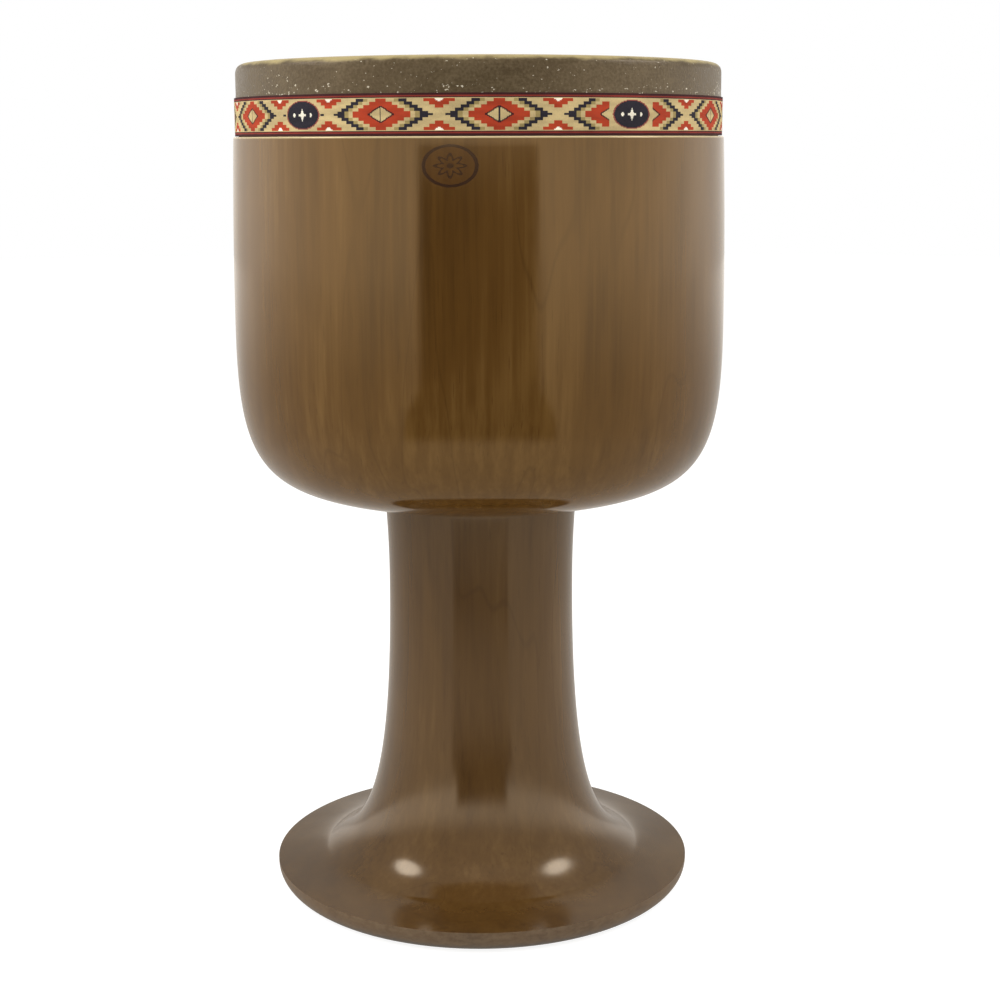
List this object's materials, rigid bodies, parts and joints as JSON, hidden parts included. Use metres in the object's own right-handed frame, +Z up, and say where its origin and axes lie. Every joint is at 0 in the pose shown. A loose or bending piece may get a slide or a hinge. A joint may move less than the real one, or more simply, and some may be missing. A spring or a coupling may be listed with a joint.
{
  "type": "goblet drum",
  "caption": "Goblet-shaped wooden hand drum: a deep round bowl on a narrow bored throat that flares to a wide foot, with a glued skin head and a woven ribbon round its collar.",
  "frame": {"origin": "centre of the flat ring that the foot stands on", "axes": "+Z up along the turning axis, towards the skin; +Y towards the back, where the ribbon's ends lap"},
  "size_m": [0.28, 0.28, 0.48],
  "materials": {
    "bowl_wood": "clear gloss lacquer",
    "throat_wood": "clear gloss lacquer",
    "hide": "dry, matt, mottled",
    "woven_band": "flat-woven diamonds in red, navy and cream"
  },
  "bodies": {
    "root": {"bowl": "bowl_wood", "throat": "throat_wood", "skin_head": "hide", "ribbon": "woven_band"}
  },
  "joints": []
}
